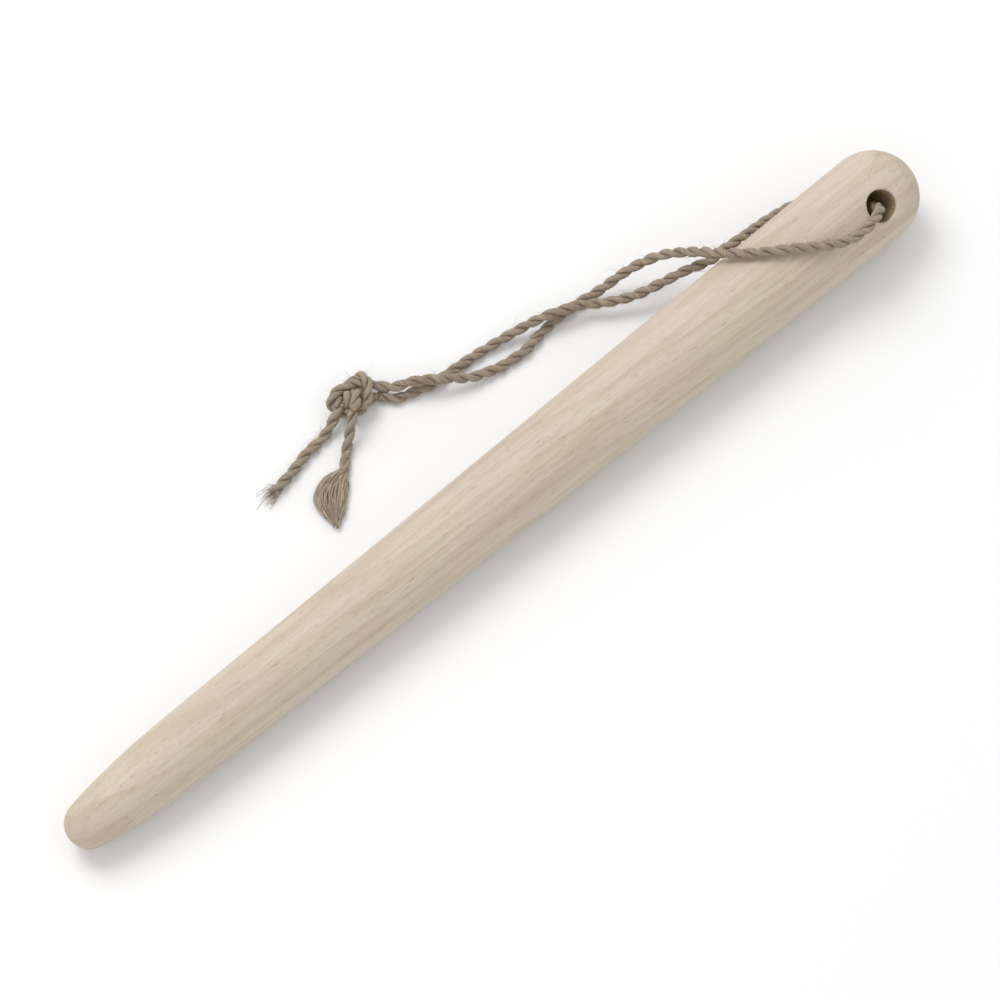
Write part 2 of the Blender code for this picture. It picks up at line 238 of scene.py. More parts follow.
class PegSkin:
    """The peg's skin, with a net of rays round each mouth of the eye and a wall between the mouths."""

    def __init__(self, edge):
        self.edge = edge
        self.points = []
        self.faces = []
        self.wall_from = 0

    def add(self, point):
        self.points.append(point)
        return len(self.points) - 1

    def build(self):
        stations, first, last = peg_stations()
        grid = [[self.ring_point(x, side) for side in range(PEG_SIDES)] for x in stations]
        self.skin(grid, first, last)
        self.cap(grid[0], -PEG_LENGTH / 2)
        self.cap(grid[-1], PEG_LENGTH / 2)
        upper = self.mouth(grid, first, 0)
        lower = self.mouth(grid, first, PEG_SIDES // 2)
        self.wall_from = len(self.faces)
        self.wall(upper, lower)

    def ring_point(self, x, side):
        angle = EYE_ANGLE + FULL_TURN * side / PEG_SIDES
        radius = peg_radius(x)
        return self.add((x, radius * math.cos(angle), radius * math.sin(angle)))

    def skin(self, grid, first, last):
        """The peg's sides, with both nets left open."""
        for i in range(len(grid) - 1):
            for j in range(PEG_SIDES):
                past_eye = (j + 0.5) % (PEG_SIDES // 2)
                from_eye = min(past_eye, PEG_SIDES // 2 - past_eye)
                if first <= i < last and from_eye < PATCH_REACH:
                    continue
                k = (j + 1) % PEG_SIDES
                self.faces.append((grid[i][j], grid[i][k], grid[i + 1][k], grid[i + 1][j]))

    def cap(self, ring, x):
        tip = self.add((x, 0, 0))
        for j in range(PEG_SIDES):
            self.faces.append((ring[j], ring[(j + 1) % PEG_SIDES], tip))

    def mouth(self, grid, first, middle):
        """Rays from the net's square edge in to the bore. Returns the ring at the eased edge's foot."""
        low, high = -PATCH_REACH, PATCH_REACH
        edge = [(low, j) for j in range(low, high)] + [(i, high) for i in range(low, high)]
        edge += [(high, -j) for j in range(low, high)] + [(-i, low) for i in range(low, high)]
        turn = EYE_ANGLE + FULL_TURN * middle / PEG_SIDES
        outer = [grid[first + PATCH_REACH + i][(middle + j) % PEG_SIDES] for i, j in edge]
        flat = []
        for index in outer:
            x, y, z = self.points[index]
            flat.append((x - EYE_X, -y * math.sin(turn) + z * math.cos(turn)))
        radius = EYE_DIAMETER / 2
        ring = outer
        for k in range(1, NET_RINGS + 1):
            share = (1 - k / NET_RINGS) ** NET_CROWDING
            inner = []
            for u, v in flat:
                reach = math.hypot(u, v)
                out = radius + (reach - radius) * share
                inner.append(self.eased_point(u / reach * out, v / reach * out, out, turn))
            self.join(ring, inner)
            ring = inner
        return ring

    def eased_point(self, u, v, out, turn):
        """A point of the skin near the eye, let down where the mouth's edge is rounded over."""
        inside = max(0, EYE_DIAMETER / 2 + self.edge - out)
        drop = self.edge - math.sqrt(self.edge**2 - min(inside, self.edge) ** 2)
        height = math.sqrt(peg_radius(EYE_X + u) ** 2 - v * v) - drop
        return self.lift(u, v, height, turn)

    def lift(self, u, v, height, turn):
        """Adds a point u along the peg and v round it from the eye, at a height over the peg's axis."""
        y = height * math.cos(turn) - v * math.sin(turn)
        z = height * math.sin(turn) + v * math.cos(turn)
        return self.add((EYE_X + u, y, z))

    def join(self, outer, inner):
        """A band of faces between two rings with as many points."""
        count = len(outer)
        for k in range(count):
            n = (k + 1) % count
            self.faces.append((outer[k], outer[n], inner[n], inner[k]))

    def wall(self, upper, lower):
        """The bore's wall, from one mouth down to the other."""
        # Seen along the bore, the lower mouth's rays run the other way round.
        match = []
        for index in upper:
            x, y, z = self.points[index]
            side = -y * math.sin(EYE_ANGLE) + z * math.cos(EYE_ANGLE)
            match.append(min(lower, key=lambda i: self.apart(i, x, side)))
        ring = upper
        for step in range(1, WALL_RINGS):
            t = step / WALL_RINGS
            inner = []
            for a, b in zip(upper, match):
                mixed = Vector(self.points[a]).lerp(Vector(self.points[b]), t)
                inner.append(self.add(tuple(mixed)))
            self.join(ring, inner)
            ring = inner
        self.join(ring, match)

    def apart(self, index, x, side):
        """How far apart a point and a place are, squared, seen along the bore."""
        px, py, pz = self.points[index]
        return (px - x) ** 2 + (-py * math.sin(EYE_ANGLE) + pz * math.cos(EYE_ANGLE) - side) ** 2


# ---- the twine's line


def eye_frame():
    """The middle of the bore, with local Z along it towards the upper mouth."""
    turn = Matrix.Rotation(EYE_ANGLE - math.pi / 2, 4, "X")
    return CAD_PEG_PLACE @ Matrix.Translation((EYE_X, 0, 0)) @ turn


def beside_peg(back, out, height):
    """A point this far back from the eye and out from the peg's flank, in mm, at a height in metres."""
    x = EYE_X - back * MM
    return Vector((x, shank_radius(x) + out * MM, height))


def bore_route(places, side):
    """From the middle of the bore to a mouth: side is 1 for the upper one and -1 for the lower one."""
    eye = eye_frame()
    route = []
    for share, back, around in places:
        route.append(eye @ Vector((-back * EYE_PLAY, around * EYE_PLAY, side * share * HEAD_RADIUS)))
    return route


def peg_route(places):
    """Points over the peg's surface, for a table such as NEAR_ROUND_PEG."""
    route = []
    for back, degrees, lift in places:
        x = EYE_X - back * MM
        reach = shank_radius(x) + TWINE_RADIUS + CLEARANCE + lift * MM
        angle = math.radians(degrees)
        route.append(CAD_PEG_PLACE @ Vector((x, reach * math.cos(angle), reach * math.sin(angle))))
    return route


def down_route(places):
    """Points from the peg down to the bench, for a table such as NEAR_DOWN."""
    return [beside_peg(back, out, ON_BENCH + rise * MM) for back, out, rise in places]


def between(rows, position):
    """The rows' values at a position among them, on straight lines between the rows."""
    i = min(int(position), len(rows) - 2)
    t = position - i
    return [a + (b - a) * t for a, b in zip(rows[i], rows[i + 1])]


def heading(position):
    """The way the pair runs at this position, level, towards the knot."""
    a = between(PAIR_ROUTE, max(position - 0.1, 0))
    b = between(PAIR_ROUTE, min(position + 0.1, len(PAIR_ROUTE) - 1))
    return (beside_peg(b[0], b[1], 0) - beside_peg(a[0], a[1], 0)).normalized()


def twisted_pair():
    """The near and the far strand, wound round each other with the lower one on the bench."""
    near, far = [], []
    for i in range((len(PAIR_ROUTE) - 1) * PAIR_STEPS + 1):
        back, out, turns, spread = between(PAIR_ROUTE, i / PAIR_STEPS)
        slope = heading(i / PAIR_STEPS)
        across = Vector((-slope.y, slope.x, 0))
        angle = FULL_TURN * turns
        middle = beside_peg(back, out, ON_BENCH + PAIR_REACH * abs(math.cos(angle)))
        arm = across * math.sin(angle) * spread - Vector((0, 0, 1)) * math.cos(angle)
        near.append(middle + PAIR_REACH * arm)
        far.append(middle - PAIR_REACH * arm)
    return near, far


def smooth(route, step):
    """Points a step apart on a smooth curve through the route (centripetal Catmull-Rom)."""
    p = np.array([tuple(point) for point in route], float)
    p = np.vstack([2 * p[0] - p[1], p, 2 * p[-1] - p[-2]])
    gaps = np.sqrt(np.linalg.norm(np.diff(p, axis=0), axis=1))
    fine = []
    for i in range(len(p) - 3):
        t1 = gaps[i]
        t2 = t1 + gaps[i + 1]
        t3 = t2 + gaps[i + 2]
        t = np.linspace(t1, t2, CURVE_STEPS, endpoint=False)[:, None]
        a1 = p[i] + (p[i + 1] - p[i]) * t / t1
        a2 = p[i + 1] + (p[i + 2] - p[i + 1]) * (t - t1) / (t2 - t1)
        a3 = p[i + 2] + (p[i + 3] - p[i + 2]) * (t - t2) / (t3 - t2)
        b1 = a1 + (a2 - a1) * t / t2
        b2 = a2 + (a3 - a2) * (t - t1) / (t3 - t1)
        fine.append(b1 + (b2 - b1) * (t - t1) / (t2 - t1))
    return evenly(np.vstack([*fine, p[-2:-1]]), step)


def evenly(line, step):
    """The line with its points about a step apart."""
    walked = lengths_along(line)
    count = max(2, round(walked[-1] / step))
    marks = np.linspace(0, walked[-1], count + 1)
    return np.stack([np.interp(marks, walked, line[:, k]) for k in range(3)], 1)


def lengths_along(line):
    """How far each point is along the line."""
    return np.concatenate([[0], np.cumsum(np.linalg.norm(np.diff(line, axis=0), axis=1))])


# ---- the knot


def loose_knot(side):
    """One strand of a loose overhand knot: side is 1 for the strand on the left, -1 for the other."""
    t = np.linspace(-LOOSE_END, LOOSE_END, 400)[:, None]
    middle = LOOSE_SIZE * np.hstack(
        [0.55 * (t**3 - 3 * t), 0.42 * (t**4 - 4 * t**2 + 1.5), 0.12 * (t**5 - 10 * t)]
    )
    along = np.gradient(middle, axis=0)
    left = np.cross([0, 0, 1.0], along)
    left /= np.linalg.norm(left, axis=1)[:, None]
    strand = middle + left * side * TWINE_RADIUS
    way_out = np.array([math.cos(KNOT_TURN), math.sin(KNOT_TURN), 0])
    lead_in = strand[0] * [1, 1, LOOSE_FLATTER] - [LOOSE_LEAD, 0, 0]
    lead_out = strand[-1] * [1, 1, LOOSE_FLATTER] + way_out * LOOSE_LEAD
    return evenly(np.vstack([lead_in, strand, lead_out]), TIE_STEP)


def tightened_knot(squeeze, rounds):
    """Both strands of the knot once their ends are pulled, as strings of beads that can't pass."""
    strands = [loose_knot(-1), loose_knot(1)]
    first = len(strands[0])
    beads = np.vstack(strands)
    count = len(beads)
    links = np.array([i for i in range(count - 1) if i != first - 1])
    ends = [0, first - 1, first, count - 1]
    ways = np.array([(-1, 0, 0), (math.cos(KNOT_TURN), math.sin(KNOT_TURN), 0)] * 2, float)
    near = [slice(0, LEAD_BEADS), slice(first - LEAD_BEADS, first)]
    far = [slice(first, first + LEAD_BEADS), slice(count - LEAD_BEADS, count)]
    free = np.ones(count)
    free[ends] = 0
    touch = TWINE_DIAMETER * squeeze
    index = np.arange(count)
    strand = index >= first
    apart = np.abs(index[:, None] - index[None])
    same_strand = strand[:, None] == strand[None]
    close = (apart <= math.ceil(BEAD_REACH * touch / TIE_STEP)) & same_strand
    upper = np.triu(~close, 1)
    one, other = np.nonzero(upper)
    for _ in range(rounds):
        for end, way, span in zip(ends, ways, near + far):
            pulled = np.linalg.norm(np.diff(beads[span], axis=0), axis=1).mean() / TIE_STEP
            beads[end] += way * PULL * (1 if pulled < PULLED_TIGHT else -1)
        bend = np.zeros_like(beads)
        bend[1:-1] = (beads[:-2] + beads[2:]) / 2 - beads[1:-1]
        bend[[first - 1, first]] = 0
        beads += STIFFNESS * bend * free[:, None]
        for _ in range(HOLDS):
            for parity in (0, 1):
                hold(beads, links[links % 2 == parity], free)
            push_apart(beads, one, other, touch, free)
    return beads[:first], beads[first:]


def hold(beads, links, free):
    """Brings linked beads back to a step apart."""
    gap = beads[links + 1] - beads[links]
    length = np.linalg.norm(gap, axis=1)
    give = free[links] + free[links + 1]
    move = ((length - TIE_STEP) / np.maximum(give, 1e-9) / length)[:, None] * gap
    beads[links] += move * free[links][:, None]
    beads[links + 1] -= move * free[links + 1][:, None]


def push_apart(beads, one, other, touch, free):
    """Moves beads that are closer than they can be away from each other."""
    gap = beads[other] - beads[one]
    squared = (gap * gap).sum(1)
    hit = np.nonzero(squared < touch**2)[0]
    if not len(hit):
        return
    a, b = one[hit], other[hit]
    length = np.sqrt(squared[hit])
    give = np.maximum(free[a] + free[b], 1e-9)
    move = (0.5 * (length - touch) / length / give)[:, None] * gap[hit]
    total = np.zeros_like(beads)
    hits = np.zeros(len(beads))
    np.add.at(total, a, move * free[a][:, None])
    np.add.at(total, b, -move * free[b][:, None])
    np.add.at(hits, a, 1)
    np.add.at(hits, b, 1)
    beads += total / np.maximum(1, hits / 2)[:, None]


def placed_knot(squeeze, rounds):
    """The tightened knot on the bench, cut to the stretch that is in the knot itself."""
    near, far = tightened_knot(squeeze, rounds)
    core = crowded(near, far)
    turn = np.array(Matrix.Rotation(KNOT_ENTRY, 3, "Z"))
    middle = (core.min(0) + core.max(0)) / 2
    place = np.array(beside_peg(*KNOT_PLACE, TWINE_RADIUS))
    rise = -(core @ turn.T)[:, 2].min()
    placed = []
    for strand in (near, far):
        moved = (strand - middle * [1, 1, 0]) @ turn.T + place + [0, 0, rise]
        inside = np.linalg.norm(strand[:, :2] - middle[:2], axis=1) < KNOT_REACH
        marks = np.nonzero(inside)[0]
        placed.append(moved[marks[0] : marks[-1] + 1])
    return placed


def crowded(near, far):
    """The beads that have many others round them, which is the body of the knot."""
    both = np.vstack([near, far])
    gaps = np.linalg.norm(both[:, None] - both[None], axis=2)
    return both[(gaps < CROWD_REACH * TWINE_DIAMETER).sum(1) > CROWD]


def clear_of_knot(route):
    """The route's points that stop well short of the knot."""
    middle = beside_peg(*KNOT_PLACE, 0)
    return [point for point in route if (point - middle).xy.length > KNOT_CLEAR]


def tail_route(places):
    """Points on the bench, for a table such as STRAIGHT_TAIL."""
    return [beside_peg(back, out, ON_BENCH) for back, out in places]


class Twine:
    """The twine as one line: clean tail, knot, near strand, eye, far strand, knot, frayed tail."""

    def __init__(self, squeeze, rounds):
        near_pair, far_pair = twisted_pair()
        near_knot, far_knot = placed_knot(squeeze, rounds)
        near_half = bore_route(NEAR_BORE, 1) + peg_route(NEAR_ROUND_PEG) + down_route(NEAR_DOWN)
        far_half = bore_route(FAR_BORE, -1) + peg_route(FAR_ROUND_PEG) + down_route(FAR_DOWN)
        near = near_half + clear_of_knot(near_pair) + list(near_knot[::KNOT_THINNING])
        near += tail_route(STRAIGHT_TAIL[1:])
        far = far_half + clear_of_knot(far_pair) + list(far_knot[::KNOT_THINNING])
        far += tail_route(FRAYED_TAIL[1:])
        self.line = smooth([*reversed(near), *far], STEP)
        self.walked = lengths_along(self.line)
        self.set_frames()
        self.eye = self.nearest((near[0] + far[0]) / 2)
        self.near_knot = (self.nearest(near_knot[-1]), self.nearest(near_knot[0]))
        self.far_knot = (self.nearest(far_knot[0]), self.nearest(far_knot[-1]))

    def nearest(self, point):
        return int(np.linalg.norm(self.line - np.array(tuple(point)), axis=1).argmin())

    def set_frames(self):
        """Sideways and upward directions along the line that turn as little as they can."""
        along = np.gradient(self.line, axis=0)
        along /= np.linalg.norm(along, axis=1)[:, None]
        side = np.zeros_like(along)
        start = np.cross(along[0], [0, 0, 1.0])
        side[0] = start / np.linalg.norm(start)
        for i in range(1, len(along)):
            kept = side[i - 1] - along[i] * side[i - 1].dot(along[i])
            side[i] = kept / np.linalg.norm(kept)
        self.along = along
        self.side = side
        self.up = np.cross(along, side)


class Yarn:
    """Gathers tubes of fibre and makes one mesh of them, with each point's place in the yarn's lay."""

    def __init__(self):
        self.points = []
        self.faces = []
        self.lay = []
        self.count = 0

    def tube(self, rings, lay):
        """rings is (stations, sides, 3); lay has the same shape. The ends are closed."""
        stations, sides, _ = rings.shape
        start = self.count
        ends = [rings[0].mean(0), rings[-1].mean(0)]
        self.points.append(np.vstack([rings.reshape(-1, 3), *ends]))
        self.lay.append(np.vstack([lay.reshape(-1, 3), lay[0].mean(0), lay[-1].mean(0)]))
        index = start + np.arange(stations * sides).reshape(stations, sides)
        turned = np.roll(index, -1, axis=1)
        walls = np.stack([index[:-1], turned[:-1], turned[1:], index[1:]], -1).reshape(-1, 4)
        self.faces.extend(walls.tolist())
        first, last = start + stations * sides, start + stations * sides + 1
        self.faces.extend([turned[0][k], index[0][k], first] for k in range(sides))
        self.faces.extend([index[-1][k], turned[-1][k], last] for k in range(sides))
        self.count += stations * sides + 2

    def piece(self, name, finish, body, slot):
        """The one mesh as a visible piece."""
        data = bpy.data.meshes.new(name)
        points = np.vstack(self.points)
        data.from_pydata(points.tolist(), [], [[int(i) for i in face] for face in self.faces])
        lay = data.attributes.new("lay", "FLOAT_VECTOR", "POINT")
        lay.data.foreach_set("vector", np.vstack(self.lay).astype(np.float32).ravel())
        return shown(name, data, finish, body)


def shown(name, data, finish, body):
    """Makes a visible piece that rides on a body."""
    data.shade_smooth()
    data.materials.append(finish)
    made = bpy.data.objects.new(name, data)
    bpy.context.scene.collection.objects.link(made)
    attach(made, body)
    return made


def ply_rings(twine, part, ply, make, thinning):
    """The rings of one ply of the yarn over part of the line, and their places in the lay.

    Over the last stretch of length thinning, the ply loses its fibres and tapers.
    """
    line, side, up = twine.line[part], twine.side[part], twine.up[part]
    walked = twine.walked[part]
    turn = (FULL_TURN * walked / make.ply_pitch + math.pi * ply)[:, None]
    outward = side * np.cos(turn) + up * np.sin(turn)
    core = line + outward * PLY_REACH
    along = np.gradient(core, axis=0)
    along /= np.linalg.norm(along, axis=1)[:, None]
    across = np.cross(along, outward)
    across /= np.linalg.norm(across, axis=1)[:, None]
    outward = np.cross(across, along)
    angle = np.linspace(0, FULL_TURN, PLY_SIDES, endpoint=False)[None, :]
    fibre = angle - FULL_TURN * walked[:, None] / make.fibre_pitch
    slub = 1 + 0.05 * np.sin(walked * 900 + ply * 2) + 0.04 * np.sin(walked * 2300 + ply)
    ridge = 1 + 0.05 * np.cos(4 * fibre + ply) + 0.035 * np.cos(7 * fibre + 1.3)
    left = np.clip((walked[-1] - walked) / max(thinning, STEP), 0, 1)[:, None]
    size = TWINE_RADIUS * slub[:, None] * ridge * (1 - THINNED * (1 - left) ** 2)
    high = (PLY_HIGH * size * np.cos(angle))[:, :, None] * outward[:, None, :]
    wide = (PLY_WIDE * size * np.sin(angle))[:, :, None] * across[:, None, :]
    rings = core[:, None, :] + high + wide
    deep = np.broadcast_to(walked[:, None] / MM, fibre.shape)
    lay = np.stack([np.cos(fibre) + 3 * ply, np.sin(fibre), deep], -1)
    return rings, lay


def yarn_between(twine, start, end, make, thinning=0.0):
    """Both plies of the twine between two points of its line."""
    yarn = Yarn()
    add_plies(yarn, twine, start, end, make, thinning)
    return yarn


def add_plies(yarn, twine, start, end, make, thinning=0.0):
    part = slice(min(start, end), max(start, end) + 1)
    for ply in (0, 1):
        yarn.tube(*ply_rings(twine, part, ply, make, thinning))


def thin_tube(yarn, line, thick, lay_start, sides=5):
    """A single fibre or wisp along a line, thick at each point as given."""
    along = np.gradient(line, axis=0)
    along /= np.linalg.norm(along, axis=1)[:, None] + 1e-12
    side = np.cross(along, [0.3, 0.2, 0.93])
    side /= np.linalg.norm(side, axis=1)[:, None] + 1e-12
    up = np.cross(along, side)
    angle = np.linspace(0, FULL_TURN, sides, endpoint=False)[None, :, None]
    rings = line[:, None, :] + thick[:, None, None] * (
        np.cos(angle) * side[:, None, :] + np.sin(angle) * up[:, None, :]
    )
    walked = lengths_along(line) / MM
    lay = np.zeros_like(rings)
    lay[..., 0] = lay_start
    lay[..., 2] = walked[:, None] + lay_start * 7
    yarn.tube(rings, lay)


# ---- materials


class Value:
    """A shader socket that takes part in Python arithmetic: each operation adds a Math node."""

    def __init__(self, finish, socket):
        self.finish = finish
        self.socket = socket

    def __add__(self, other):
        return self.finish.maths("ADD", self, other)

    def __sub__(self, other):
        return self.finish.maths("SUBTRACT", self, other)

    def __rsub__(self, other):
        return self.finish.maths("SUBTRACT", other, self)

    def __mul__(self, other):
        return self.finish.maths("MULTIPLY", self, other)

    def __truediv__(self, other):
        return self.finish.maths("DIVIDE", self, other)

    __radd__ = __add__
    __rmul__ = __mul__


class Finish:
    """A material in the making."""

    def __init__(self, name, **constants):
        self.material = bpy.data.materials.new(name)
        self.material.use_nodes = True
        self.tree = self.material.node_tree
        self.shader = self.tree.nodes["Principled BSDF"]
        for socket, value in constants.items():
            self.shader.inputs[socket.replace("_", " ")].default_value = value

    def node(self, kind, settings=None, sockets=None):
        """Adds a node: its settings are set first, then its sockets, by name or number."""
        made = self.tree.nodes.new("ShaderNode" + kind)
        for name, value in (settings or {}).items():
            setattr(made, name, value)
        for key, value in (sockets or {}).items():
            self.feed(made.inputs[key], value)
        return made

    def feed(self, socket, value):
        if isinstance(value, Value):
            value = value.socket
        if isinstance(value, bpy.types.NodeSocket):
            self.tree.links.new(value, socket)
        elif hasattr(value, "__len__") and socket.type == "RGBA":
            socket.default_value = (*value[:3], 1)
        else:
            socket.default_value = value

    def maths(self, operation, *values):
        made = self.node("Math", {"operation": operation}, dict(enumerate(values)))
        return Value(self, made.outputs[0])

    def stretched(self, vector, scale):
        return self.node("VectorMath", {"operation": "MULTIPLY"}, {0: vector, 1: scale}).outputs[0]

    def along(self, vector, direction):
        made = self.node("VectorMath", {"operation": "DOT_PRODUCT"}, {0: vector, 1: direction})
        return Value(self, made.outputs["Value"])

    def noise(self, vector, detail=2.0, roughness=0.5):
        sockets = {"Vector": vector, "Scale": 1.0, "Detail": detail, "Roughness": roughness}
        return Value(self, self.node("TexNoise", None, sockets).outputs["Fac"])

    def eased(self, value, low, high):
        """Smoothly from 0 at low to 1 at high."""
        sockets = {"Value": value, "From Min": low, "From Max": high}
        made = self.node("MapRange", {"interpolation_type": "SMOOTHSTEP"}, sockets)
        return Value(self, made.outputs["Result"])

    def mix(self, share, first, second):
        return self.node("Mix", {"data_type": "RGBA"}, {0: share, 6: first, 7: second}).outputs[2]

    def bump(self, height, distance, strength):
        sockets = {"Height": height, "Distance": distance, "Strength": strength}
        return self.node("Bump", None, sockets).outputs["Normal"]

    def finish(self, **links):
        for socket, value in links.items():
            self.feed(self.shader.inputs[socket.replace("_", " ")], value)
        return self.material


def turned_wood(look):
    """Pale close-grained hardwood, turned and sanded, with no varnish."""
    wood = Finish("turned_hardwood", Roughness=0.6, IOR=1.45, Specular_IOR_Level=0.35)
    place = wood.node("TexCoord").outputs["Object"]
    mm = wood.stretched(place, (1 / MM,) * 3)
    drift = wood.noise(wood.stretched(mm, (0.018, 0.10, 0.10)), detail=2.0)
    rings = wood.along(mm, (0.035, 0.62, 0.55)) + drift * 5.0
    ring = wood.maths("FRACT", rings / look.ring_spacing_mm)
    late = wood.eased(ring, 0.55, 0.93) * wood.eased(ring, 1.0, 0.95)
    fibre = wood.noise(wood.stretched(mm, (0.10, 4.2, 4.2)), detail=5.0, roughness=0.65)
    streak = wood.noise(wood.stretched(mm, (0.035, 0.9, 0.9)), detail=3.0, roughness=0.6)
    cloud = wood.noise(wood.stretched(mm, (0.045, 0.16, 0.16)), detail=2.0)
    pore = wood.eased(wood.noise(wood.stretched(mm, (0.55, 9.0, 9.0)), detail=1.5), 0.655, 0.73)
    fleck = wood.eased(wood.noise(wood.stretched(mm, (0.9, 0.8, 7.0)), detail=1.0), 0.66, 0.74)
    colour = wood.mix(wood.eased(cloud, 0.36, 0.64), look.wood_pink, look.wood_yellow)
    colour = wood.mix(wood.eased(streak, 0.40, 0.72) * 0.55, colour, look.wood_deep)
    colour = wood.mix(late * 0.34, colour, look.wood_deep)
    colour = wood.mix(wood.eased(fibre, 0.42, 0.75) * 0.38, colour, look.wood_deep)
    colour = wood.mix(fleck * 0.22, colour, look.wood_pale)
    colour = wood.mix(pore * 0.55, colour, look.wood_pore)
    along = wood.along(mm, (1.0, 0.0, 0.0))
    ends = wood.eased(along, 69.5, 74.0) + wood.eased(along, -66.0, -74.0)
    smudge = wood.noise(wood.stretched(mm, (0.12, 0.2, 0.2)), detail=3.0)
    dull = ends * 0.24 + wood.eased(smudge, 0.55, 0.8) * 0.16
    colour = wood.mix(dull, colour, look.wood_worn)
    lathe = wood.noise(wood.stretched(mm, (3.1, 0.02, 0.02)), detail=2.0)
    relief = fibre * 0.5 + lathe * 0.45 - pore * 0.9 - late * 0.15
    normal = wood.bump(relief, 0.05 * MM, 0.55)
    rough = 0.52 + fibre * 0.16 + late * 0.05 + ends * 0.08
    return wood.finish(Base_Color=colour, Roughness=rough, Normal=normal)


def eye_wall_with_painted_shade(look):
    """The wall of the eye: torn end grain, coloured far darker than the peg's wood as painted shade in
    the bore.
    """
    wall = Finish("eye_wall_painted_shade", Roughness=0.85, IOR=1.45, Specular_IOR_Level=0.2)
    place = wall.node("TexCoord").outputs["Object"]
    mm = wall.stretched(place, (1 / MM,) * 3)
    tear = wall.noise(wall.stretched(mm, (1.5, 3.0, 3.0)), detail=4.0, roughness=0.7)
    # Two browns far darker than the peg's wood, mixed in torn-grain patches: painted shade in the bore.
    colour = wall.mix(wall.eased(tear, 0.35, 0.7), look.eye_painted_shade_dark, look.eye_painted_shade_pale)
    normal = wall.bump(tear, 0.12 * MM, 0.8)
    return wall.finish(Base_Color=colour, Normal=normal)


def jute(look):
    """Hairy grey-brown bast fibre."""
    fibre = Finish("jute_fibre", Roughness=0.88, IOR=1.4, Specular_IOR_Level=0.25)
    fibre.shader.inputs["Sheen Weight"].default_value = 0.12
    fibre.shader.inputs["Sheen Roughness"].default_value = 0.6
    lay = fibre.node("Attribute", {"attribute_name": "lay"}).outputs["Vector"]
    strand = fibre.noise(fibre.stretched(lay, (3.2, 3.2, 0.35)), detail=5.0, roughness=0.7)
    thread = fibre.noise(fibre.stretched(lay, (9.0, 9.0, 0.8)), detail=3.0, roughness=0.6)
    patch = fibre.noise(fibre.stretched(lay, (0.5, 0.5, 0.16)), detail=2.0)
    colour = fibre.mix(fibre.eased(strand, 0.34, 0.62), look.twine_dark, look.twine_colour)
    colour = fibre.mix(fibre.eased(thread, 0.55, 0.78) * 0.7, colour, look.twine_pale)
    colour = fibre.mix(fibre.eased(thread, 0.42, 0.25) * 0.6, colour, look.twine_dark)
    colour = fibre.mix(fibre.eased(patch, 0.38, 0.62) * 0.55, colour, look.twine_grey)
    normal = fibre.bump(strand * 0.7 + thread * 0.6, 0.12 * MM, 0.9)
    rough = 0.78 + thread * 0.2
    return fibre.finish(Base_Color=colour, Roughness=rough, Normal=normal)


def bench_paper():
    """Plain white paper with no shine."""
    paper = Finish("bench_paper", Roughness=1.0, Specular_IOR_Level=0.0)
    paper.shader.inputs["Base Color"].default_value = (0.92, 0.92, 0.92, 1)
    return paper.material


# ---- what a user can set


def colour_prop(name, description, default):
    return FloatVectorProperty(
        name=name, description=description, default=default, size=3, subtype="COLOR", min=0, max=1
    )


def length_prop(name, description, default, least):
    return FloatProperty(name=name, description=description, default=default, min=least, unit="LENGTH")


def angle_prop(name, description, degrees):
    turn = math.radians(degrees)
    return FloatProperty(name=name, description=description, default=turn, subtype="ANGLE")


class PegSettings(bpy.types.PropertyGroup):
    edge: length_prop("Eased edge", "How far the eye's mouths are rounded over", 0.35 * MM, 0.05 * MM)
    ring_spacing_mm: FloatProperty(
        name="Ring spacing", description="Width of a year's growth in mm", default=2.1, min=0.5, max=6
    )
    wood_pink: colour_prop("Pink wood", "The wood's rosier patches", (0.63, 0.535, 0.46))
    wood_yellow: colour_prop("Straw wood", "The wood's yellower patches", (0.62, 0.555, 0.435))
    wood_pale: colour_prop("Ray flecks", "The palest flecks", (0.72, 0.67, 0.58))
    wood_deep: colour_prop("Late wood", "The darker lines of the grain", (0.49, 0.385, 0.275))
    wood_pore: colour_prop("Pores", "The short dark pores", (0.28, 0.20, 0.13))
    wood_worn: colour_prop("Handled wood", "Where hands have dulled the wood", (0.43, 0.35, 0.265))
    # The eye's two colours are painted shade for the bore's wall, far darker than the peg's own wood.
    eye_painted_shade_dark: colour_prop("Eye, dark", "The darkest wood inside the eye", (0.27, 0.19, 0.10))
    eye_painted_shade_pale: colour_prop("Eye, light", "The lightest wood inside the eye", (0.50, 0.40, 0.24))


class TwineSettings(bpy.types.PropertyGroup):
    ply_pitch: length_prop("Ply pitch", "Twine in which its plies make a turn", 4.4 * MM, 2 * MM)
    fibre_pitch: length_prop("Fibre pitch", "Ply in which its fibres make a turn", 3.6 * MM, 1 * MM)
    knot_squeeze: FloatProperty(
        name="Knot squeeze",
        description="How close the strands are pressed in the knot, as a share of the twine's diameter",
        default=0.82,
        min=0.6,
        max=1,
        subtype="FACTOR",
    )
    knot_rounds: IntProperty(
        name="Knot rounds", description="Steps in which the knot is pulled tight", default=1100, min=100
    )
    hairs: IntProperty(name="Hairs", description="Fibres that stand off the twine", default=520, min=0)
    twine_colour: colour_prop("Twine", "The twine's main colour", (0.50, 0.40, 0.29))
    twine_dark: colour_prop("Twine, dark", "Between the fibres", (0.19, 0.135, 0.085))
    twine_pale: colour_prop("Twine, pale", "The palest fibres", (0.68, 0.58, 0.45))
    twine_grey: colour_prop("Twine, grey", "Weathered lengths", (0.31, 0.28, 0.245))


